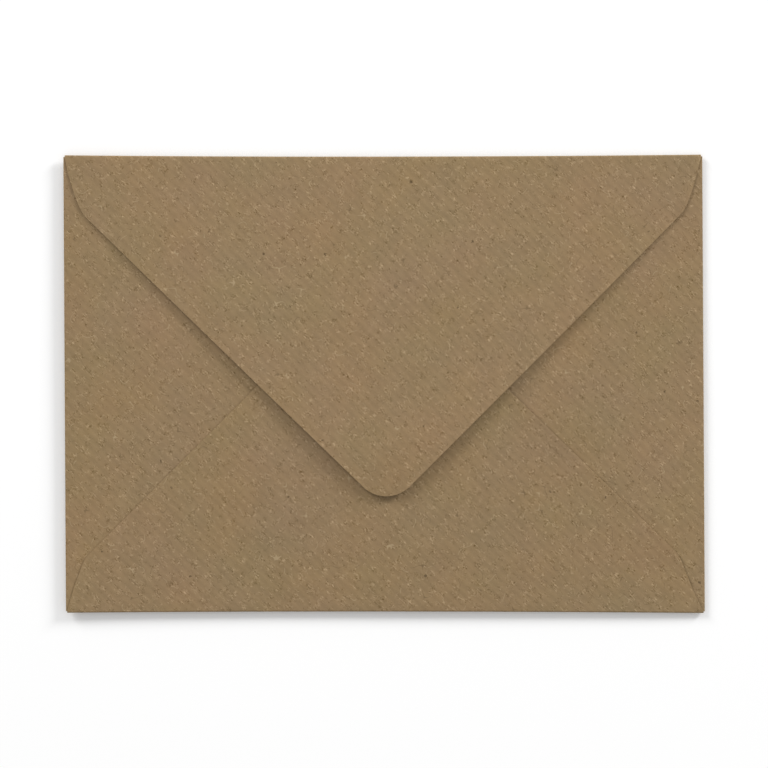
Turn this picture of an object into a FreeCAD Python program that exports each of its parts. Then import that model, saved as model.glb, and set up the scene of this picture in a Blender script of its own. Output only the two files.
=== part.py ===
"""A gummed paper envelope with a pointed flap: one die-cut sheet of ribbed kraft, folded and glued.

The envelope lies on its address side, with the pocket's back and the closed flap upwards.
Origin: on the table, under the middle of the envelope. +X runs along the long side, +Y towards
the crease of the closing flap, +Z up. Lengths are in millimetres.

The sheet has five panels. The two side flaps fold in over the front, the bottom flap folds up
over them and is gummed to them along two slanting seams, and the closing flap folds down over
all three without being stuck. Every crease is a half round with the sheet's thickness, wide
enough for the layers that it goes round.

The paper is springy, so the pocket is a shallow pillow: the front rests on its flat middle and
its creases stand off the table, the back rises between them, and the flap stands a little open.
"""

import FreeCAD, Part

import math
import os

from FreeCAD import Vector

# Outside size, from crease to crease.
envelope_width = 175.0
envelope_height = 125.0

# The sheet, and the air between its layers at the creases.
paper_thickness = 0.16
pocket_gap = 0.30
seam_film = 0.05
flap_clearance = 0.10

# The pillow: height of the creases off the table, rise of the back between them, and the share
# of each half span that is flat about the middle. The flap's point stands off the back.
crease_lift = 0.90
pocket_rise = 0.90
flat_share = 0.30
flap_spring = 1.80

# The closing flap and the bottom flap: depth of the first, and how far the second's point
# stays below the top crease.
closing_flap_depth = 93.1
throat_depth = 33.2

# The slanting ends of those two flaps: they leave the crease steeply, slant further inwards
# from a knee, and turn into the long straight edge at the shoulder. Runs are measured along
# the crease from the flap's end, depths square to it. The bottom flap's ends lie further in.
knee_run = 1.45
knee_depth = 7.0
knee_radius = 35.0
shoulder_run = 4.55
shoulder_depth = 15.0
shoulder_radius = 8.0
bottom_flap_inset = 0.70

# Rounded points, and the width that the side flaps reach under the bottom flap's edges.
point_radius = 9.0
side_point_radius = 8.0
seam_overlap = 7.0
gum_margin = 1.0

# Nick between the ends of two creases that meet at a corner.
corner_nick = 0.06

# Height of each flap's underside over the front's, at the creases. The bottom flap ends well
# below the top crease, so that the closing flap is creased round the side flaps alone.
side_level = paper_thickness + pocket_gap
bottom_level = side_level + paper_thickness + seam_film
closing_level = side_level + paper_thickness + flap_clearance

# Outer radius of each crease: half the height of what it folds round.
side_bend = (side_level + paper_thickness) / 2
bottom_bend = (bottom_level + paper_thickness) / 2
closing_bend = (closing_level + paper_thickness) / 2

# The flat field inside the creases, where the panels lie.
field_left = -envelope_width / 2 + side_bend
field_right = envelope_width / 2 - side_bend
field_bottom = -envelope_height / 2 + bottom_bend
field_top = envelope_height / 2 - closing_bend

# Height that every cutting prism clears, above and below the layers.
clear_height = crease_lift + bottom_level + pocket_rise + 4 * flap_spring + paper_thickness

UP = Vector(0, 0, 1)


def rounded_outline(corners, radii):
    """Closed face in the XY plane through the corners, each rounded to its radius."""
    edges = []
    count = len(corners)
    starts = []
    ends = []
    middles = []
    for i, corner in enumerate(corners):
        radius = radii[i]
        incoming = (corner - corners[i - 1]).normalize()
        outgoing = (corners[(i + 1) % count] - corner).normalize()
        half_turn = incoming.getAngle(outgoing) / 2
        setback = radius * math.tan(half_turn)
        starts.append(corner - incoming * setback)
        ends.append(corner + outgoing * setback)
        if radius:
            inward = (outgoing - incoming).normalize()
            middles.append(corner + inward * (radius / math.cos(half_turn) - radius))
        else:
            middles.append(None)
    for i in range(count):
        if middles[i]:
            edges.append(Part.Arc(starts[i], middles[i], ends[i]).toShape())
        edges.append(Part.LineSegment(ends[i], starts[(i + 1) % count]).toShape())
    return Part.Face(Part.Wire(edges))


def flap_corners(half_crease, half_side, apex):
    """Corners of a symmetric flap as (across, depth) pairs.

    half_side runs from the crease to the shoulder on the positive side, each point as a pair
    of run from the crease's end and depth; apex is the depth where the straight edges meet."""
    right = [(half_crease - run, depth) for run, depth in half_side]
    left = [(-across, depth) for across, depth in reversed(right)]
    return right + [(0.0, apex)] + left


def apex_depth(point_depth, half_width, depth, radius):
    """Depth where two straight edges from (half_width, depth) meet, so that the rounding of
    their corner ends at point_depth."""
    apex = point_depth
    for _ in range(40):
        half_angle = math.atan2(half_width, apex - depth)
        apex = point_depth + radius / math.sin(half_angle) - radius
    return apex


def flat_ends(low, high):
    """Where the pillow's flat middle begins and ends, between two creases."""
    middle = (low + high) / 2
    flat = (high - low) / 2 * flat_share
    return middle - flat, middle + flat


def sprung_span(low, high):
    """Knots, poles and swell of a quadratic spline along one side of the pillow.

    The swell is 0 at both creases and 1 over the flat middle, and falls off as a parabola
    between them. The poles are spaced so that places along the side stay as they are."""
    start, end = flat_ends(low, high)
    poles = (low, (low + start) / 2, (low + high) / 2, (end + high) / 2, high)
    return (low, start, end, high), poles, (0, 1, 1, 1, 0)


def sprung_slab(at_creases, in_middle, thickness, opening=0.0):
    """Slab over the whole field, with its underside at one height along the creases and at
    another in the middle; opening is its slope away from the top crease."""
    x_knots, x_poles, x_swell = sprung_span(field_left, field_right)
    y_knots, y_poles, y_swell = sprung_span(field_bottom, field_top)
    poles = []
    for x, swell_along in zip(x_poles, x_swell):
        line = []
        for y, swell_up in zip(y_poles, y_swell):
            height = at_creases + (in_middle - at_creases) * swell_along * swell_up
            line.append(Vector(x, y, height + opening * (field_top - y)))
        poles.append(line)
    ends = (3, 1, 1, 3)
    patch = Part.BSplineSurface()
    patch.buildFromPolesMultsKnots(poles, ends, ends, x_knots, y_knots, False, False, 2, 2)
    return patch.toShape().extrude(UP * thickness)


def back_slab(level, thickness=paper_thickness, opening=0.0):
    """Slab on the pocket's back, that far over the front along the creases."""
    at_creases = crease_lift + level
    return sprung_slab(at_creases, at_creases + pocket_rise, thickness, opening)


def prism(outline):
    """The outline swept through all the layers."""
    return outline.translated(UP * -clear_height).extrude(UP * 2 * clear_height)


def panel(slab, place, corners, radii):
    """The part of a slab inside a flap's outline; place turns (across, depth) into a point."""
    return slab.common(prism(rounded_outline([place(*c) for c in corners], radii)))


def crease(radius, half_length, place):
    """Half round of sheet from the front's edge up and over to a flap, along its crease.

    place turns (across, out, height) into a point, with out measured from the field's edge."""
    inner = radius - paper_thickness
    low, high = 0.0, 2 * radius

    def at(out, height):
        return place(-half_length, out, crease_lift + height)

    outer_arc = Part.Arc(at(0, low), at(radius, radius), at(0, high))
    inner_arc = Part.Arc(
        at(0, high - paper_thickness), at(inner, radius), at(0, low + paper_thickness)
    )
    rim = Part.Wire(
        [
            outer_arc.toShape(),
            Part.LineSegment(at(0, high), at(0, high - paper_thickness)).toShape(),
            inner_arc.toShape(),
            Part.LineSegment(at(0, low + paper_thickness), at(0, low)).toShape(),
        ]
    )
    along = place(half_length, 0, 0) - place(-half_length, 0, 0)
    return Part.Face(rim).extrude(along)


def closing_flap_place(across, depth, height=0.0):
    return Vector(across, field_top - depth, height)


def bottom_flap_place(across, depth, height=0.0):
    return Vector(across, field_bottom + depth, height)


def left_flap_place(across, depth, height=0.0):
    return Vector(field_left + depth, across, height)


def right_flap_place(across, depth, height=0.0):
    return Vector(field_right - depth, across, height)


def outwards(place):
    """The same place with the depth turned outwards, for a crease."""
    return lambda across, out, height: place(across, -out, height)


def shouldered_side(inset):
    knee = (knee_run + inset, knee_depth)
    shoulder = (shoulder_run + inset, shoulder_depth)
    return [(0.0, 0.0), knee, shoulder]


def shouldered_radii():
    side = [0.0, knee_radius, shoulder_radius]
    return side + [point_radius] + side[::-1]


def closing_flap():
    half_crease = field_right - corner_nick
    depth = closing_flap_depth - closing_bend
    apex = apex_depth(depth, half_crease - shoulder_run, shoulder_depth, point_radius)
    slab = back_slab(closing_level, opening=flap_spring / depth)
    corners = flap_corners(half_crease, shouldered_side(0.0), apex)
    flap = panel(slab, closing_flap_place, corners, shouldered_radii())
    fold = crease(closing_bend, half_crease, outwards(closing_flap_place))
    return [flap, fold]


def bottom_flap_shape():
    """Half widths of the bottom flap at its crease and its shoulders, and the depth where its
    straight edges meet."""
    half_crease = field_right - corner_nick
    depth = envelope_height - throat_depth - bottom_bend
    half_shoulder = half_crease - shoulder_run - bottom_flap_inset
    apex = apex_depth(depth, half_shoulder, shoulder_depth, point_radius)
    return half_crease, half_shoulder, apex


def bottom_flap_corners():
    half_crease, _, apex = bottom_flap_shape()
    return flap_corners(half_crease, shouldered_side(bottom_flap_inset), apex)


def bottom_flap():
    half_crease, _, _ = bottom_flap_shape()
    slab = back_slab(bottom_level)
    flap = panel(slab, bottom_flap_place, bottom_flap_corners(), shouldered_radii())
    fold = crease(bottom_bend, half_crease, outwards(bottom_flap_place))
    return [flap, fold]


def side_flap_corners():
    """Corners of a side flap, whose straight edge runs seam_overlap inside the bottom
    flap's edge and parallel to it."""
    _, half_shoulder, apex = bottom_flap_shape()
    shoulder = bottom_flap_place(-half_shoulder, shoulder_depth)
    edge = (bottom_flap_place(0.0, apex) - shoulder).normalize()
    inward = Vector(edge.y, -edge.x, 0)
    start = shoulder + inward * seam_overlap
    # Depth of the point, and distance of the edge from the middle line at the crease.
    reach = start.x - field_left - start.y * edge.x / edge.y
    at_crease = reach * edge.y / edge.x
    half_side_crease = envelope_height / 2 - closing_bend - corner_nick
    if at_crease > half_side_crease:
        step = (at_crease - half_side_crease) * edge.x / edge.y
        side = [(0.0, 0.0), (0.0, step)]
    else:
        half_side_crease = at_crease
        side = [(0.0, 0.0)]
    return half_side_crease, flap_corners(half_side_crease, side, reach)


def side_flap_radii(corners):
    radii = [0.0] * len(corners)
    radii[len(corners) // 2] = side_point_radius
    return radii


def side_flap(place):
    half_crease, corners = side_flap_corners()
    flap = panel(back_slab(side_level), place, corners, side_flap_radii(corners))
    fold = crease(side_bend, half_crease, outwards(place))
    return [flap, fold]


def shrunk(outline, margin):
    """The outline, drawn in by the margin all round."""
    return outline.makeOffset2D(-margin)


def gum_line(place):
    """Dried gum between a side flap and the bottom flap, where one lies over the other.

    It reaches from the middle of one sheet to the middle of the next, so that it binds them."""
    _, corners = side_flap_corners()
    under = rounded_outline([place(*c) for c in corners], side_flap_radii(corners))
    over = rounded_outline(
        [bottom_flap_place(*c) for c in bottom_flap_corners()], shouldered_radii()
    )
    film = back_slab(side_level + paper_thickness / 2, paper_thickness + seam_film)
    film = film.common(prism(shrunk(under, gum_margin)))
    return film.common(prism(shrunk(over, gum_margin)))


def front_panel():
    """The address side, which sags from its creases to the flat middle that it rests on."""
    left, right = flat_ends(field_left, field_right)
    low, high = flat_ends(field_bottom, field_top)
    corners = [(left, low), (right, low), (right, high), (left, high)]
    middle = rounded_outline([Vector(x, y, 0) for x, y in corners], [0.0] * 4)
    rest = middle.extrude(UP * paper_thickness)
    sagging = sprung_slab(crease_lift, 0.0, paper_thickness)
    return [sagging.cut(prism(middle)), rest]


def envelope_sheet():
    """All panels, creases and gum lines as the one folded sheet."""
    pieces = front_panel() + closing_flap() + bottom_flap()
    for place in (left_flap_place, right_flap_place):
        pieces += side_flap(place)
        pieces.append(gum_line(place))
    sheet = pieces[0].fuse(pieces[1:]).removeSplitter()
    return sheet.Solids[0]


def main():
    os.makedirs("parts", exist_ok=True)
    sheet = envelope_sheet()
    sheet.exportStep("parts/envelope_sheet.step")
    box = sheet.BoundBox
    print(
        "envelope_sheet: solids", len(sheet.Solids), "valid", sheet.isValid(),
        "faces", len(sheet.Faces), "volume mm3", round(sheet.Volume, 1),
        "size", round(box.XLength, 2), round(box.YLength, 2), round(box.ZLength, 2),
    )


main()
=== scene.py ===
"""A gummed kraft envelope with a pointed flap, lying flap side up on a white table.

The envelope is made as a real one is: the blank is drawn flat, with its five panels and the
strips that become the creases, and is then folded along them, side flaps first, bottom flap
next and closing flap last. The folded sheet is sprung a little open, as paper is, and gets
its thickness last. Lengths are in metres, or in millimetres where a name ends in MM.
"""

import math

import bmesh
import bpy
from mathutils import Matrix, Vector
from mathutils.kdtree import KDTree


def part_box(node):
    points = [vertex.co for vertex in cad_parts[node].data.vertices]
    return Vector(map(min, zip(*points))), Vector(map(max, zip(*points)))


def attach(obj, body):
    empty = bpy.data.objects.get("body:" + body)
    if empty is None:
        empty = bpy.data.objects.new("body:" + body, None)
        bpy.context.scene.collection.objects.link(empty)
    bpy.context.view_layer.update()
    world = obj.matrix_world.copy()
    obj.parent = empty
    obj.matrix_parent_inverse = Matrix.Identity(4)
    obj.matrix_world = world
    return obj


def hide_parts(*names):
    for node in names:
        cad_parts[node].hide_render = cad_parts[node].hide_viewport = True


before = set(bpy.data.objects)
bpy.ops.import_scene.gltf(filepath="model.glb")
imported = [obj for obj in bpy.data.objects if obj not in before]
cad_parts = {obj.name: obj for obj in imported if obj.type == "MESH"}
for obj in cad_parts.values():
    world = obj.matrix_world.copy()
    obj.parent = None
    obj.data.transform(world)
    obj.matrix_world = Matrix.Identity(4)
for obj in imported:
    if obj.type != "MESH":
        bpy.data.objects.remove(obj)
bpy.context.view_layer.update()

MM = 0.001
UP = Vector((0, 0, 1))

# Outside size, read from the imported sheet.
sheet_low, sheet_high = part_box("envelope_sheet")
WIDTH = sheet_high.x - sheet_low.x
HEIGHT = sheet_high.y - sheet_low.y

# The sheet, and the air between its layers at the creases.
PAPER = 0.16 * MM
POCKET_GAP = 0.30 * MM
SEAM_FILM = 0.05 * MM
FLAP_CLEARANCE = 0.10 * MM

# Height of the middle of each flap over the middle of the front, at the creases. The closing
# flap is creased round the side flaps alone: the bottom flap ends well below its crease.
SIDE_LEVEL = PAPER + POCKET_GAP
BOTTOM_LEVEL = SIDE_LEVEL + PAPER + SEAM_FILM
CLOSING_LEVEL = SIDE_LEVEL + PAPER + FLAP_CLEARANCE

# The flat field inside the creases: each crease takes half a layer's height and half a sheet.
FIELD_X = WIDTH / 2 - (SIDE_LEVEL + PAPER) / 2
FIELD_BOTTOM = -HEIGHT / 2 + (BOTTOM_LEVEL + PAPER) / 2
FIELD_TOP = HEIGHT / 2 - (CLOSING_LEVEL + PAPER) / 2

# The shouldered flaps: depth from the envelope's own edge, and the two corners of their
# slanting ends as run along the crease, depth and radius. The bottom flap's lie further in.
CLOSING_DEPTH = 93.3 * MM
BOTTOM_DEPTH = HEIGHT - 33.5 * MM
BOTTOM_INSET = 1.25 * MM
CORNER_NICK = 0.06 * MM
KNEE = (1.45 * MM, 7.0 * MM, 35.0 * MM)
SHOULDER = (4.55 * MM, 15.0 * MM, 8.0 * MM)
POINT_RADIUS = 9.0 * MM

# The side flaps, whose edges lie this far under the bottom flap's.
SIDE_POINT_RADIUS = 8.0 * MM
SEAM_OVERLAP = 7.0 * MM

# How far two flaps were folded out of square, in degrees, anticlockwise from above.
CLOSING_SKEW = 0.27
BOTTOM_SKEW = 0.38

# How far the bottom flap was cut to the left of the middle.
BOTTOM_SLIP = 0.8 * MM

# The spring in the folded sheet. It is a shallow pillow: its creases stand off the table, the
# left one higher than the right one, and its back rises over them, with this share of each
# half span flat in the middle. The closing flap opens towards its point and, from CURL_START
# of its depth on, curls down again by up to POINT_CURL of that. The bottom flap's edges stand
# off the side flaps. Both flaps open less on the left than on the right, by a share each.
EDGE_LIFT = 0.9 * MM
LEFT_LIFT = 0.4 * MM
POCKET_RISE = 0.9 * MM
FLAT_SHARE = 0.30
FLAP_SPRING = 2.2 * MM
LEFT_FLAP_SHARE = 0.95
CURL_START = 0.82
POINT_CURL = 0.40
SEAM_SPRING = 0.32 * MM
SEAM_REACH_MM = 9.0
LEFT_SEAM_SHARE = 0.16
TWIST_WIDTH = 50.0 * MM

# The long creases bow inwards: how far their ends stand out, and how far the middle is drawn
# in from there. The short ones lean and the bottom one tilts, so that the envelope is a little
# out of square.
TOP_REACH, TOP_DRAW = 0.19 * MM, 0.45 * MM
BOTTOM_REACH, BOTTOM_DRAW = 0.09 * MM, 0.38 * MM
BOTTOM_TILT = 0.32 * MM
LEAN = 0.28 * MM

# Slow waves in the paper.
WAVE_HEIGHT = 0.16 * MM
WAVE_LENGTH = 42.0 * MM

# Fineness of the mesh: a cell of the blank before it is divided, coarse strips in a crease,
# degrees between the points of a rounded corner, cuts made in each cell, and the fine strips
# that these leave in a crease. Then the step along the cut edge for measuring distances to it,
# the angle in degrees up to which faces are shaded as one, the rounds that settle a rounded
# point's apex, and the length that counts as nothing.
CELL = 8.0 * MM
CREASE_STRIPS = 4
ARC_STEP = 6.5
CUTS = 3
FINE_STRIPS = CREASE_STRIPS * (CUTS + 1)
CUT_EDGE_STEP = 0.3 * MM
SMOOTH_ANGLE = 40
APEX_ROUNDS = 40
HAIR = 0.02 * MM

# The kraft, in millimetres on the sheet: its ribs, with their angle to the long side in
# degrees, and their relief outside and inside; the grain and the pale and dark specks, as
# length along the ribs and width; the size of flocs, of clouds and of slow changes of colour;
# the loose fibres and the dark flecks; and the width of the painted highlight along the cut edge.
RIB_ANGLE = 45.0
RIB_PITCH_MM = 2.1
RIB_RELIEF_MM = 0.010
INSIDE_RELIEF_MM = 0.002
GRAIN_MM = (2.0, 1.25)
PALE_SPECK_MM = (1.1, 0.38)
DARK_SPECK_MM = (0.55, 0.32)
FLOC_MM = 2.1
CLOUD_MM = 5.0
BATCH_MM = 24.0
FIBRE_CURL_MM = 4.0
FIBRE_LENGTH_MM = 3.0
FLECK_SPACING_MM = 18.0
FLECK_RADIUS_MM = 0.34
FLECK_RAGGED_MM = 0.9
EDGE_HIGHLIGHT_MM = 1.2

# Its colours: the sheet as a whole, the single fibres in it, bark flecks, dark and pale loose
# fibres, and the cut edge.
KRAFT_BROWN = "937b5a"
FIBRE_GREY = "8b7a65"
BARK_BROWN = "54432b"
DARK_FIBRE = "6a573c"
PALE_FIBRE = "b7a17f"
CUT_EDGE_BROWN = "9a8262"

# The studio. The table's glow is what the camera sees of it beyond its light. The sky's
# strength is the light that it gives to what lies flat, of about 1 from the whole studio, and
# each soft box has a name, azimuth, elevation, distance, width and such a part of the light.
TABLE_SIZE = 6.0
TABLE_GLOW = 0.06
SKY_STRENGTH = 0.53
SOFT_BOXES = [
    ("right_box", 38.0, 20.0, 3.0, 0.95, 0.22),
    ("far_box", 135.0, 24.0, 3.0, 1.3, 0.22),
]

# The photograph's frame: pixels to the millimetre, the envelope's middle in it, and its turn.
FRAME_PIXELS = 768
PIXELS_PER_MM = 3.652
ENVELOPE_PIXEL = (383.7, 383.3)
ENVELOPE_TURN = 0.07
CAMERA_HEIGHT = 1.2


def linear(hex_colour):
    """The linear RGBA of an sRGB colour written as rrggbb."""
    values = [int(hex_colour[i : i + 2], 16) / 255 for i in (0, 2, 4)]
    lit = [v / 12.92 if v <= 0.04045 else ((v + 0.055) / 1.055) ** 2.4 for v in values]
    return (*lit, 1.0)


def deselect_all():
    bpy.ops.object.select_all(action="DESELECT")


def select_where(test):
    """In edit mode, selects the vertices that pass the test, and what lies between them."""
    bpy.ops.mesh.select_all(action="DESELECT")
    cage = bmesh.from_edit_mesh(bpy.context.object.data)
    for vert in cage.verts:
        vert.select = bool(test(vert))
    cage.select_flush(True)
    bmesh.update_edit_mesh(bpy.context.object.data)


def turn_selected(angle, axis, centre):
    """Turns the selection by the right-hand rule; with no window the operator turns it the
    other way, so the angle goes in negated."""
    letter = "X" if axis.x else "Y" if axis.y else "Z"
    sign = axis.x + axis.y + axis.z
    bpy.ops.transform.rotate(
        value=-angle * sign, orient_axis=letter, orient_type="GLOBAL", center_override=centre
    )


# Outlines of the flaps, on the right of their middle line, as (across, depth) from the crease


def rounded(corners):
    """Points of an open outline whose corners (x, y, radius) are rounded."""
    points = []
    for i, (x, y, radius) in enumerate(corners):
        corner = Vector((x, y))
        if not radius:
            points.append(corner)
            continue
        arrive = (corner - Vector(corners[i - 1][:2])).normalized()
        leave = (Vector(corners[i + 1][:2]) - corner).normalized()
        inward = (leave - arrive).normalized()
        half_turn = arrive.angle(leave) / 2
        middle = corner + inward * radius / math.cos(half_turn)
        # An odd number of steps leaves a short flat at the very point of a flap.
        steps = 2 * int(math.degrees(half_turn) / ARC_STEP) + 1
        for step in range(steps + 1):
            lean = math.tan(half_turn * (2 * step / steps - 1))
            across = (leave + arrive).normalized()
            points.append(middle + (across * lean - inward).normalized() * radius)
    return points


def divided(points, longest):
    """The outline with its straight runs divided into pieces no longer than longest."""
    result = [points[0]]
    for start, end in zip(points, points[1:]):
        count = math.ceil((end - start).length / longest)
        result += [start.lerp(end, k / count) for k in range(1, count + 1)]
    return result


def right_half(points):
    return [p for p in points if p.x > HAIR]


def apex_depth(point_depth, shoulder_width, shoulder_depth, radius):
    """Depth where the straight edges would meet, for a rounded point at point_depth."""
    apex = point_depth
    for _ in range(APEX_ROUNDS):
        half_angle = math.atan2(shoulder_width, apex - shoulder_depth)
        apex = point_depth + radius / math.sin(half_angle) - radius
    return apex


def shouldered_outline(depth, inset):
    """Corners of a pointed flap with slanting ends, from its crease past the point."""
    knee_run, knee_depth, knee_radius = KNEE
    run, shoulder_depth, shoulder_radius = SHOULDER
    half_shoulder = CREASE_HALF - run - inset
    apex = apex_depth(depth, half_shoulder, shoulder_depth, POINT_RADIUS)
    return [
        (CREASE_HALF, 0.0, 0.0),
        (CREASE_HALF - knee_run - inset, knee_depth, knee_radius),
        (half_shoulder, shoulder_depth, shoulder_radius),
        (0.0, apex, POINT_RADIUS),
        (-half_shoulder, shoulder_depth, 0.0),
    ]


CREASE_HALF = FIELD_X - CORNER_NICK
SIDE_HALF = FIELD_TOP - CORNER_NICK
CLOSING_OUTLINE = shouldered_outline(CLOSING_DEPTH - HEIGHT / 2 + FIELD_TOP, 0.0)
BOTTOM_OUTLINE = shouldered_outline(BOTTOM_DEPTH - HEIGHT / 2 - FIELD_BOTTOM, BOTTOM_INSET)


def bottom_seam():
    """A point of the bottom flap's left edge, and the edge's direction towards the point."""
    _, _, (shoulder_x, shoulder_depth, _), (_, apex, _), _ = BOTTOM_OUTLINE
    start = Vector((-shoulder_x, FIELD_BOTTOM + shoulder_depth))
    return start, (Vector((0.0, FIELD_BOTTOM + apex)) - start).normalized()


def side_outline():
    """Corners of a side flap, whose edge lies SEAM_OVERLAP inside the bottom flap's edge."""
    start, edge = bottom_seam()
    start += Vector((edge.y, -edge.x)) * SEAM_OVERLAP
    slope = edge.x / edge.y
    reach = start.x + FIELD_X - start.y * slope
    spread = min(SIDE_HALF, reach / slope)
    root = reach - spread * slope
    return [(spread, root, 0.0), (0.0, reach, SIDE_POINT_RADIUS), (-spread, root, 0.0)]


# The flat blank, outer face down


def front_panel():
    """The front as a flat grid, with a grid line on each of its edges."""
    bpy.ops.mesh.primitive_grid_add(
        x_subdivisions=round(WIDTH / CELL), y_subdivisions=round(HEIGHT / CELL), size=1
    )
    blank = bpy.context.object
    blank.name = blank.data.name = "folded_sheet"
    bpy.ops.object.mode_set(mode="EDIT")
    bpy.ops.mesh.select_all(action="SELECT")
    size = (2 * FIELD_X, FIELD_TOP - FIELD_BOTTOM, 1)
    bpy.ops.transform.resize(value=size, center_override=(0, 0, 0))
    bpy.ops.transform.translate(value=(0, (FIELD_TOP + FIELD_BOTTOM) / 2, 0))
    return blank


def crease_chord(level):
    """Width of one strip of the divided crease that folds a flap over to a level."""
    return level * math.sin(math.pi / FINE_STRIPS / 2)


def grow_flap(outward, start, half_edge, level, half_crease, corners):
    """Extrudes the front's edge on one side into a crease and then a flap, row by row."""
    edge = outward * start
    select_where(lambda vert: abs((vert.co - edge).dot(outward)) < HAIR)
    strip = crease_chord(level) * (CUTS + 1)
    rows = [(half_crease, strip)] * CREASE_STRIPS
    depth = 0.0
    for point in right_half(divided(rounded(corners), CELL)):
        if point.y - depth > HAIR:
            rows.append((point.x, point.y - depth))
            depth = point.y
    crosswise = Vector((outward.y, outward.x, 0))
    half_width = half_edge
    for new_half_width, step in rows:
        bpy.ops.mesh.extrude_edges_move(TRANSFORM_OT_translate={"value": outward * step})
        ratio = new_half_width / half_width
        scale = [ratio if part else 1.0 for part in crosswise]
        bpy.ops.transform.resize(value=scale, center_override=(0, 0, 0))
        half_width = new_half_width


def skew_flap(outward, start, level, degrees):
    """Turns a flap a little about the middle of its crease, as if folded out of square."""
    root = start + crease_chord(level) * FINE_STRIPS
    select_where(lambda vert: vert.co.dot(outward) > root + HAIR)
    # The flap is turned over when it is folded, so on the blank it leans the other way.
    turn_selected(-math.radians(degrees), UP, outward * root)


LEFT, RIGHT = Vector((-1, 0, 0)), Vector((1, 0, 0))
DOWN, AWAY = Vector((0, -1, 0)), Vector((0, 1, 0))

# Each flap in the order of folding: the way it points on the blank, how far out the front's
# edge lies there, and the flap's level once folded.
FOLDS = [
    (LEFT, FIELD_X, SIDE_LEVEL),
    (RIGHT, FIELD_X, SIDE_LEVEL),
    (DOWN, -FIELD_BOTTOM, BOTTOM_LEVEL),
    (AWAY, FIELD_TOP, CLOSING_LEVEL),
]


def flat_blank():
    """The die-cut blank before folding, with its place on the blank kept as its UV map."""
    blank = front_panel()
    for outward in (LEFT, RIGHT):
        grow_flap(outward, FIELD_X, FIELD_TOP, SIDE_LEVEL, SIDE_HALF, side_outline())
    grow_flap(DOWN, -FIELD_BOTTOM, FIELD_X, BOTTOM_LEVEL, CREASE_HALF, BOTTOM_OUTLINE)
    grow_flap(AWAY, FIELD_TOP, FIELD_X, CLOSING_LEVEL, CREASE_HALF, CLOSING_OUTLINE)
    skew_flap(DOWN, -FIELD_BOTTOM, BOTTOM_LEVEL, BOTTOM_SKEW)
    skew_flap(AWAY, FIELD_TOP, CLOSING_LEVEL, CLOSING_SKEW)
    bpy.ops.mesh.select_all(action="SELECT")
    bpy.ops.mesh.subdivide(number_cuts=CUTS)
    # The outer face is the lower one here, and comes out on top of the flaps once folded.
    bpy.ops.mesh.flip_normals()
    bpy.ops.object.mode_set(mode="OBJECT")
    keep_blank_places(blank)
    return blank


def keep_blank_places(blank):
    """Writes each point's place on the flat blank into a UV map and a vertex attribute."""
    mesh = blank.data
    while mesh.uv_layers:
        mesh.uv_layers.remove(mesh.uv_layers[0])
    layout = mesh.uv_layers.new(name="blank")
    for loop in mesh.loops:
        layout.uv[loop.index].vector = mesh.vertices[loop.vertex_index].co.xy
    place = mesh.attributes.new("place", "FLOAT_VECTOR", "POINT")
    for vert in mesh.vertices:
        place.data[vert.index].vector = vert.co


def mark_cut_edge(blank):
    """Keeps each point's distance to the nearest die-cut edge, in millimetres."""
    mesh = blank.data
    uses = {}
    for face in mesh.polygons:
        for key in face.edge_keys:
            uses[key] = uses.get(key, 0) + 1
    cut = []
    for (a, b), count in uses.items():
        if count == 1:
            start, end = mesh.vertices[a].co, mesh.vertices[b].co
            steps = max(1, math.ceil((end - start).length / CUT_EDGE_STEP))
            cut += [start.lerp(end, k / steps) for k in range(steps + 1)]
    tree = KDTree(len(cut))
    for index, point in enumerate(cut):
        tree.insert(point, index)
    tree.balance()
    distance = mesh.attributes.new("edge_mm", "FLOAT", "POINT")
    for vert in mesh.vertices:
        distance.data[vert.index].value = tree.find(vert.co)[2] / MM


# Folding


def fold(outward, start, level):
    """Folds one flap up and over, turning it a little at each line of its crease."""
    chord = crease_chord(level)
    axis = outward.cross(UP)
    pivot = outward * start
    turned = 0.0
    for line in range(FINE_STRIPS + 1):
        beyond = start + line * chord + chord / 10
        angle = math.pi / FINE_STRIPS * (0.5 if line in (0, FINE_STRIPS) else 1.0)
        cage = bmesh.from_edit_mesh(bpy.context.object.data)
        place = cage.verts.layers.float_vector["place"]
        select_where(lambda vert: vert[place].dot(outward) > beyond)
        turn_selected(angle, axis, pivot)
        turned += angle
        pivot = pivot + (outward * math.cos(turned) + UP * math.sin(turned)) * chord


def fold_up(blank):
    deselect_all()
    blank.select_set(True)
    bpy.context.view_layer.objects.active = blank
    bpy.ops.object.mode_set(mode="EDIT")
    for outward, start, level in FOLDS:
        fold(outward, start, level)
    bpy.ops.object.mode_set(mode="OBJECT")


# The spring of the folded sheet


def span(part):
    """1 over the flat middle of the pillow, falling off as a parabola to 0 at a crease."""
    return 1 - max(0.0, (min(1.0, abs(part)) - FLAT_SHARE) / (1 - FLAT_SHARE)) ** 2


def swell(vert):
    return span(2 * vert.co.x / WIDTH) * span(2 * vert.co.y / HEIGHT)


def beside(vert, side):
    """1 at the right crease, or with side -1 at the left one, and 0 from the middle on."""
    return 1 - span(max(0.0, 2 * side * vert.co.x / WIDTH))


def in_back(vert):
    """1 on the layers over the pocket, 0 on the front."""
    return max(0.0, min(1.0, vert.co.z / SIDE_LEVEL))


def on_level(vert, level):
    """1 on the flap that lies flat at that level, 0 on the rest and in the creases."""
    inside = FIELD_BOTTOM - HAIR < vert.co.y < FIELD_TOP + HAIR
    return 1.0 if inside and abs(vert.co.z - level) < HAIR else 0.0


def less_on_left(vert, left_share):
    """1 on the right half, that share on the left one, with a slope between them."""
    rightness = max(0.0, min(1.0, 0.5 + vert.co.x / TWIST_WIDTH))
    return left_share + (1 - left_share) * rightness


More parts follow.
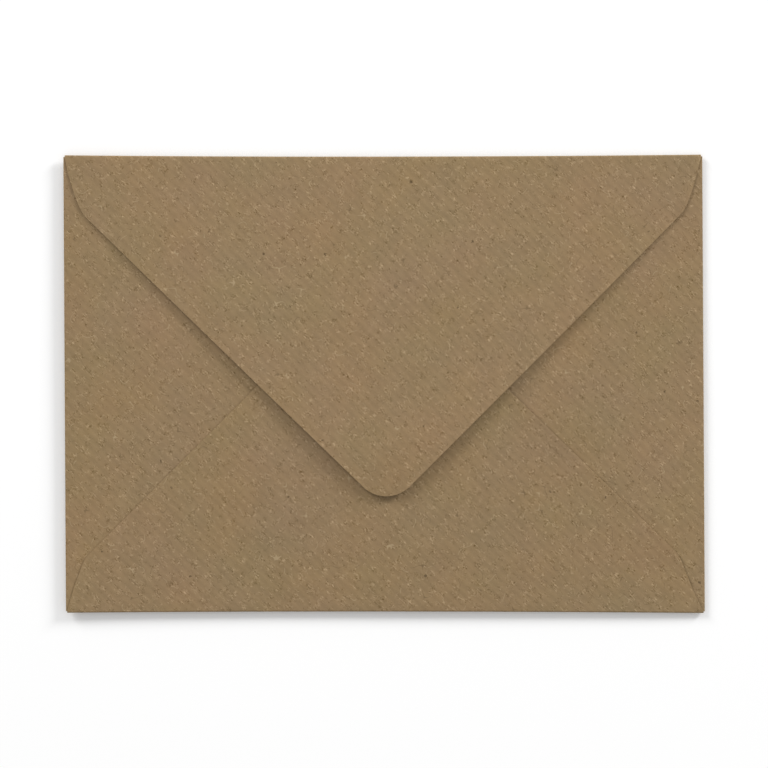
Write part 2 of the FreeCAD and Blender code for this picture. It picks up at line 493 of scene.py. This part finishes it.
def flap_opens(vert, edge_mm):
    """Rises towards the closing flap's point, which curls down again."""
    depth = max(0.0, (HEIGHT / 2 - vert.co.y) / CLOSING_DEPTH)
    curl = 1 - POINT_CURL * max(0.0, (depth - CURL_START) / (1 - CURL_START)) ** 2
    return on_level(vert, CLOSING_LEVEL) * depth**1.5 * curl * less_on_left(vert, LEFT_FLAP_SHARE)


def seam_opens(vert, edge_mm):
    """1 along the bottom flap's right edge and less along its left one, fading out inwards and
    towards its crease."""
    side = less_on_left(vert, LEFT_SEAM_SHARE)
    from_crease = max(0.0, min(1.0, (vert.co.y + HEIGHT / 2) / SHOULDER[1]))
    from_edge = max(0.0, 1 - edge_mm / SEAM_REACH_MM) ** 2
    return on_level(vert, BOTTOM_LEVEL) * side * from_crease * from_edge


def beyond_bottom_knee(vert, edge_mm):
    """1 on the bottom flap from its knees onwards, fading out towards its crease."""
    from_crease = max(0.0, min(1.0, (vert.co.y + HEIGHT / 2) / KNEE[1]))
    return on_level(vert, BOTTOM_LEVEL) * from_crease


def far_side(vert, side):
    """1 at the top crease and 0 at the bottom one, or the other way round."""
    return max(0.0, min(1.0, 0.5 + side * vert.co.y / HEIGHT))


def bow(vert, side):
    """1 in the middle of a long crease, falling off to its ends and across the envelope."""
    return (1 - min(1.0, abs(2 * vert.co.x / WIDTH)) ** 2) * far_side(vert, side) ** 2


def bottom_right(vert, edge_mm):
    """1 at the right end of the bottom crease, falling off to its left end and to the top."""
    return far_side(vert, -1) ** 2 * (0.5 + vert.co.x / WIDTH)


# Each move: its name, direction and travel, and its weight at a point.
SPRINGS = [
    ("edges_lift", "Z", EDGE_LIFT, lambda vert, edge: 1 - swell(vert) * (1 - in_back(vert))),
    ("left_edge_lifts", "Z", LEFT_LIFT, lambda vert, edge: beside(vert, -1)),
    ("right_edge_sinks", "Z", -LEFT_LIFT, lambda vert, edge: beside(vert, 1)),
    ("pocket_rises", "Z", POCKET_RISE, lambda vert, edge: in_back(vert) * swell(vert)),
    ("flap_opens", "Z", FLAP_SPRING, flap_opens),
    ("seam_opens", "Z", SEAM_SPRING, seam_opens),
    ("bottom_flap_slips", "X", -BOTTOM_SLIP, beyond_bottom_knee),
    ("top_reaches", "Y", TOP_REACH, lambda vert, edge: far_side(vert, 1) ** 2),
    ("top_draws_in", "Y", -TOP_DRAW, lambda vert, edge: bow(vert, 1)),
    ("bottom_reaches", "Y", -BOTTOM_REACH, lambda vert, edge: far_side(vert, -1) ** 2),
    ("bottom_tilts", "Y", -BOTTOM_TILT, bottom_right),
    ("bottom_draws_in", "Y", BOTTOM_DRAW, lambda vert, edge: bow(vert, -1)),
    ("top_leans", "X", -LEAN, lambda vert, edge: far_side(vert, 1)),
    ("bottom_leans", "X", LEAN, lambda vert, edge: far_side(vert, -1)),
]


def spring_open(piece):
    """Moves each point of a flat folded piece by what the spring of the paper does there."""
    deselect_all()
    piece.select_set(True)
    bpy.context.view_layer.objects.active = piece
    edge_mm = [point.value for point in piece.data.attributes["edge_mm"].data]
    for name, _, _, weight in SPRINGS:
        group = piece.vertex_groups.new(name=name)
        for vert in piece.data.vertices:
            amount = weight(vert, edge_mm[vert.index])
            group.add([vert.index], max(0.0, min(1.0, amount)), "REPLACE")
    for name, direction, travel, _ in SPRINGS:
        displace = piece.modifiers.new(name, "DISPLACE")
        displace.direction = direction
        displace.mid_level = 0.0
        displace.strength = travel
        displace.vertex_group = name
        bpy.ops.object.modifier_apply(modifier=name)
    waves = bpy.data.textures.new("paper_waves", "CLOUDS")
    waves.noise_scale = WAVE_LENGTH
    waves.noise_depth = 1
    displace = piece.modifiers.new("waves", "DISPLACE")
    displace.texture = waves
    displace.texture_coords = "LOCAL"
    displace.direction = "Z"
    displace.strength = WAVE_HEIGHT
    bpy.ops.object.modifier_apply(modifier="waves")
    piece.vertex_groups.clear()


def thicken(sheet, outer, inner, cut_edge):
    """Gives the sheet its thickness, with the cut edge and the inner face as own finishes."""
    for finish in (outer, inner, cut_edge):
        sheet.data.materials.append(finish)
    solidify = sheet.modifiers.new("paper", "SOLIDIFY")
    solidify.thickness = PAPER
    solidify.offset = 0.0
    solidify.material_offset = 1
    solidify.material_offset_rim = 2
    bpy.ops.object.modifier_apply(modifier="paper")
    bpy.ops.object.shade_smooth_by_angle(angle=math.radians(SMOOTH_ANGLE))


def set_down(piece):
    """Lowers or raises the piece until its lowest point touches the table."""
    lowest = min(vert.co.z for vert in piece.data.vertices)
    deselect_all()
    piece.select_set(True)
    bpy.context.view_layer.objects.active = piece
    bpy.ops.transform.translate(value=(0, 0, -lowest))
    bpy.ops.object.transform_apply(location=True, rotation=False, scale=False)


# Finishes


def add_node(tree, kind, inputs=None, **settings):
    """Adds a node with its settings; an input is a value, a socket, or a node whose first
    output feeds it."""
    node = tree.nodes.new(kind)
    for name, value in settings.items():
        setattr(node, name, value)
    for name, value in (inputs or {}).items():
        if isinstance(value, bpy.types.Node):
            value = value.outputs[0]
        if isinstance(value, bpy.types.NodeSocket):
            tree.links.new(value, node.inputs[name])
        else:
            node.inputs[name].default_value = value
    return node


def new_finish(name):
    """An empty material, its node tree and its one surface shader."""
    finish = bpy.data.materials.new(name)
    finish.use_nodes = True
    tree = finish.node_tree
    return finish, tree, tree.nodes["Principled BSDF"]


def along_ribs(tree, place, length_mm, width_mm, shift=0.0):
    """The place on the sheet in units of a mark that long along the ribs and that wide."""
    turned = add_node(
        tree,
        "ShaderNodeMapping",
        {"Vector": place, "Rotation": (0, 0, -math.radians(RIB_ANGLE)), "Location": (shift, 0, 0)},
    )
    return add_node(
        tree, "ShaderNodeMapping", {"Vector": turned, "Scale": (1 / length_mm, 1 / width_mm, 1)}
    )


def pulp_marks(tree, place, length_mm, width_mm, start, full, shift):
    """Specks of pulp lying along the ribs: 0 between them, 1 where the noise passes full."""
    spread = add_node(
        tree,
        "ShaderNodeTexNoise",
        {
            "Vector": along_ribs(tree, place, length_mm, width_mm, shift),
            "Scale": 1.0,
            "Detail": 1.0,
        },
        noise_dimensions="2D",
    )
    return add_node(
        tree, "ShaderNodeMapRange", {"Value": spread, "From Min": start, "From Max": full}
    )


def loose_fibres(tree, place, shift):
    """Short hair-thin curls: the contour of one noise, where a second noise lets it show."""
    moved = add_node(tree, "ShaderNodeMapping", {"Vector": place, "Location": (shift, shift, 0)})
    course = add_node(
        tree,
        "ShaderNodeTexNoise",
        {"Vector": moved, "Scale": 1 / FIBRE_CURL_MM, "Detail": 0.0},
        noise_dimensions="2D",
    )
    off = add_node(tree, "ShaderNodeMath", {0: course, 1: 0.5}, operation="SUBTRACT")
    off = add_node(tree, "ShaderNodeMath", {0: off}, operation="ABSOLUTE")
    line = add_node(
        tree,
        "ShaderNodeMapRange",
        {"Value": off, "From Min": 0.016, "From Max": 0.004},
    )
    rare = add_node(
        tree,
        "ShaderNodeTexNoise",
        {"Vector": moved, "Scale": 1 / FIBRE_LENGTH_MM, "Detail": 0.0},
        noise_dimensions="2D",
    )
    shown = add_node(
        tree, "ShaderNodeMapRange", {"Value": rare, "From Min": 0.70, "From Max": 0.74}
    )
    return add_node(tree, "ShaderNodeMath", {0: line, 1: shown}, operation="MULTIPLY")


def bark_flecks(tree, place):
    """Rare dark flecks of uneven size and shape, one in some cells of a jittered grid."""
    ragged = add_node(
        tree,
        "ShaderNodeTexNoise",
        {"Vector": place, "Scale": 2.2, "Detail": 1.0},
        noise_dimensions="2D",
    )
    bent = add_node(
        tree,
        "ShaderNodeVectorMath",
        {0: ragged.outputs["Color"], 1: (0.5, 0.5, 0.0)},
        operation="SUBTRACT",
    )
    place = add_node(
        tree,
        "ShaderNodeVectorMath",
        {0: bent, 1: (FLECK_RAGGED_MM, FLECK_RAGGED_MM, 0.0), 2: place},
        operation="MULTIPLY_ADD",
    )
    cells = add_node(
        tree,
        "ShaderNodeTexVoronoi",
        {"Vector": place, "Scale": 1 / FLECK_SPACING_MM},
        voronoi_dimensions="2D",
    )
    size = add_node(
        tree,
        "ShaderNodeMapRange",
        {"Value": cells.outputs["Color"], "From Min": 0.35, "From Max": 0.75,
         "To Min": 0.0, "To Max": FLECK_RADIUS_MM / FLECK_SPACING_MM},
    )
    return add_node(
        tree, "ShaderNodeMath", {0: cells.outputs["Distance"], 1: size}, operation="LESS_THAN"
    )


def kraft_finish(name, rib_relief_mm):
    """Unbleached ribbed kraft paper, laid down wet on a ribbed felt and dried matte: a mottled
    brown with short pale and dark pulp specks along the ribs, rare dark flecks of bark and a few
    loose fibres, with a paler band along the cut edge painted in as a highlight where light
    catches it. The specks are drawn about 0.4 mm wide, coarser than real pulp, so that they show."""
    finish, tree, shader = new_finish(name)
    layout = add_node(tree, "ShaderNodeUVMap", uv_map="blank")
    place = add_node(tree, "ShaderNodeMapping", {"Vector": layout, "Scale": (1 / MM, 1 / MM, 1)})

    # A wave texture has one period in 2 pi / 20 of its unit.
    ribs = add_node(
        tree,
        "ShaderNodeTexWave",
        {
            "Vector": along_ribs(tree, place, 1.0, 1.0),
            "Scale": 2 * math.pi / 20 / RIB_PITCH_MM,
            "Distortion": 0.4,
            "Detail": 1.0,
            "Detail Scale": 1.0,
        },
        bands_direction="Y",
    ).outputs["Fac"]
    grain = add_node(
        tree,
        "ShaderNodeTexNoise",
        {"Vector": along_ribs(tree, place, *GRAIN_MM), "Scale": 1.0, "Detail": 3.0,
         "Roughness": 1.0},
        noise_dimensions="2D",
    )
    pale = pulp_marks(tree, place, *PALE_SPECK_MM, 0.60, 0.74, 31.0)
    dark = pulp_marks(tree, place, *DARK_SPECK_MM, 0.61, 0.75, 83.0)

    # The pulp lies in flocs: its grain and specks are strong in them and weak between.
    flocs = add_node(
        tree,
        "ShaderNodeTexNoise",
        {"Vector": place, "Scale": 1 / FLOC_MM, "Detail": 1.0},
        noise_dimensions="2D",
    )
    flocs = add_node(
        tree,
        "ShaderNodeMapRange",
        {"Value": flocs, "From Min": 0.44, "From Max": 0.64, "To Min": 0.3, "To Max": 2.5},
    )
    grain = add_node(tree, "ShaderNodeMath", {0: grain, 1: 0.5}, operation="SUBTRACT")
    grain, pale, dark = [
        add_node(tree, "ShaderNodeMath", {0: pulp, 1: flocs}, operation="MULTIPLY")
        for pulp in (grain, pale, dark)
    ]
    clouds = add_node(
        tree,
        "ShaderNodeTexNoise",
        {"Vector": place, "Scale": 1 / CLOUD_MM, "Detail": 2.0, "Roughness": 0.5},
        noise_dimensions="2D",
    )

    # The brightness of the sheet, about 1 on average, and of the specks in it.
    tone, specks = 0.862, 0.0
    for source, share in ((ribs, 0.072), (clouds, 0.18)):
        tone = add_node(
            tree, "ShaderNodeMath", {0: source, 1: share, 2: tone}, operation="MULTIPLY_ADD"
        )
    for source, share in ((grain, 0.56), (pale, 0.21), (dark, -0.18)):
        specks = add_node(
            tree, "ShaderNodeMath", {0: source, 1: share, 2: specks}, operation="MULTIPLY_ADD"
        )
    # A paler band along the cut edges, fading inwards: a painted highlight where light catches the
    # edge.
    edge = add_node(tree, "ShaderNodeAttribute", attribute_name="edge_mm").outputs["Fac"]
    painted_edge_highlight = add_node(
        tree,
        "ShaderNodeMapRange",
        {"Value": edge, "From Min": 0.0, "From Max": EDGE_HIGHLIGHT_MM, "To Min": 0.035,
         "To Max": 0.0},
        interpolation_type="SMOOTHSTEP",
    )
    tone = add_node(tree, "ShaderNodeMath", {0: tone, 1: painted_edge_highlight}, operation="ADD")

    # The pulp isn't quite one colour: each channel drifts by itself, slowly and a little.
    batches = add_node(
        tree,
        "ShaderNodeTexNoise",
        {"Vector": place, "Scale": 1 / BATCH_MM, "Detail": 4.0, "Roughness": 0.55},
        noise_dimensions="2D",
    )
    drift = add_node(
        tree,
        "ShaderNodeVectorMath",
        {0: batches.outputs["Color"], 1: (0.5, 0.5, 0.5)},
        operation="SUBTRACT",
    )
    drift = add_node(
        tree,
        "ShaderNodeVectorMath",
        {0: drift, 1: (0.14, 0.05, 0.22), 2: (1.0, 1.0, 1.0)},
        operation="MULTIPLY_ADD",
    )
    colour = add_node(
        tree,
        "ShaderNodeVectorMath",
        {0: drift, 1: linear(KRAFT_BROWN)[:3]},
        operation="MULTIPLY",
    )
    colour = add_node(
        tree, "ShaderNodeVectorMath", {"Vector": colour, "Scale": tone}, operation="SCALE"
    )
    # Single fibres are greyer than the sheet as a whole.
    colour = add_node(
        tree,
        "ShaderNodeVectorMath",
        {0: specks, 1: linear(FIBRE_GREY)[:3], 2: colour},
        operation="MULTIPLY_ADD",
    )
    for mask, tint, strength in (
        (bark_flecks(tree, place), BARK_BROWN, 0.75),
        (loose_fibres(tree, place, 47.0), DARK_FIBRE, 0.55),
        (loose_fibres(tree, place, 139.0), PALE_FIBRE, 0.55),
    ):
        share = add_node(tree, "ShaderNodeMath", {0: mask, 1: strength}, operation="MULTIPLY")
        colour = add_node(
            tree,
            "ShaderNodeMix",
            {"Factor": share, "A": colour, "B": linear(tint)},
            data_type="RGBA",
        ).outputs["Result"]
    tree.links.new(colour, shader.inputs["Base Color"])

    relief = 0.0
    for source, depth_mm in ((ribs, rib_relief_mm), (grain, 0.010), (pale, 0.004)):
        relief = add_node(
            tree, "ShaderNodeMath", {0: source, 1: depth_mm, 2: relief}, operation="MULTIPLY_ADD"
        )
    bump = add_node(tree, "ShaderNodeBump", {"Height": relief, "Distance": MM, "Strength": 1.0})
    tree.links.new(bump.outputs[0], shader.inputs["Normal"])
    shader.inputs["Roughness"].default_value = 0.85
    shader.inputs["Specular IOR Level"].default_value = 0.3
    return finish


def cut_edge_finish():
    """The die-cut edge of the kraft: the same fibre, torn short, so paler and duller."""
    finish, tree, shader = new_finish("kraft_cut_edge")
    shader.inputs["Base Color"].default_value = linear(CUT_EDGE_BROWN)
    shader.inputs["Roughness"].default_value = 0.95
    shader.inputs["Specular IOR Level"].default_value = 0.2
    return finish


def table_finish():
    """A matte white table. The camera sees it a little brighter than the light leaves it, so
    that it is plain white up to the shadow."""
    finish, tree, shader = new_finish("white_table")
    shader.inputs["Base Color"].default_value = (1.0, 1.0, 1.0, 1.0)
    shader.inputs["Roughness"].default_value = 1.0
    shader.inputs["Specular IOR Level"].default_value = 0.0
    shader.inputs["Emission Color"].default_value = (1.0, 1.0, 1.0, 1.0)
    rays = add_node(tree, "ShaderNodeLightPath").outputs["Is Camera Ray"]
    glow = add_node(tree, "ShaderNodeMath", {0: rays, 1: TABLE_GLOW}, operation="MULTIPLY")
    tree.links.new(glow.outputs[0], shader.inputs["Emission Strength"])
    return finish


# Table, light and camera


def table():
    bpy.ops.mesh.primitive_plane_add(size=TABLE_SIZE)
    top = bpy.context.object
    top.name = top.data.name = "table"
    top.data.materials.append(table_finish())


def soft_box(name, azimuth, elevation, distance, width, light):
    azimuth, elevation = math.radians(azimuth), math.radians(elevation)
    flat = math.cos(elevation)
    towards = Vector((math.cos(azimuth) * flat, math.sin(azimuth) * flat, math.sin(elevation)))
    bpy.ops.object.light_add(type="AREA", location=towards * distance)
    lamp = bpy.context.object
    lamp.name = name
    lamp.rotation_euler = towards.to_track_quat("Z", "Y").to_euler()
    lamp.data.shape = "DISK"
    lamp.data.size = width
    # A flat lamp of power P lights what faces it at distance d with P / (pi d^2).
    lamp.data.energy = light * math.pi * math.pi * distance**2 / math.sin(elevation)


def sky():
    """Even light from all round, seen by the camera as white."""
    world = bpy.data.worlds.new("studio")
    bpy.context.scene.world = world
    world.use_nodes = True
    tree = world.node_tree
    tree.nodes.clear()
    rays = add_node(tree, "ShaderNodeLightPath")
    strength = add_node(
        tree,
        "ShaderNodeMath",
        {0: rays.outputs["Is Camera Ray"], 1: 1 - SKY_STRENGTH, 2: SKY_STRENGTH},
        operation="MULTIPLY_ADD",
    )
    light = add_node(
        tree, "ShaderNodeBackground", {"Color": (1, 1, 1, 1), "Strength": strength}
    )
    add_node(tree, "ShaderNodeOutputWorld", {"Surface": light.outputs[0]})


def camera():
    bpy.ops.object.camera_add(location=(0, 0, CAMERA_HEIGHT))
    eye = bpy.context.object
    eye.name = "camera"
    middle = (FRAME_PIXELS - 1) / 2
    eye.location.x = (middle - ENVELOPE_PIXEL[0]) / PIXELS_PER_MM * MM
    eye.location.y = (ENVELOPE_PIXEL[1] - middle) / PIXELS_PER_MM * MM
    eye.rotation_euler = (0, 0, -math.radians(ENVELOPE_TURN))
    frame_width = FRAME_PIXELS / PIXELS_PER_MM * MM
    edge_height = EDGE_LIFT + CLOSING_LEVEL
    eye.data.lens = eye.data.sensor_width * (CAMERA_HEIGHT - edge_height) / frame_width
    eye.data.clip_end = 100
    bpy.context.scene.camera = eye


deselect_all()
envelope = flat_blank()
mark_cut_edge(envelope)
fold_up(envelope)
spring_open(envelope)
thicken(
    envelope,
    kraft_finish("ribbed_kraft", RIB_RELIEF_MM),
    kraft_finish("plain_kraft_inside", INSIDE_RELIEF_MM),
    cut_edge_finish(),
)
set_down(envelope)
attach(envelope, "root")
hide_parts("envelope_sheet")

table()
for box in SOFT_BOXES:
    soft_box(*box)
sky()
camera()
bpy.context.scene.view_settings.view_transform = "Standard"
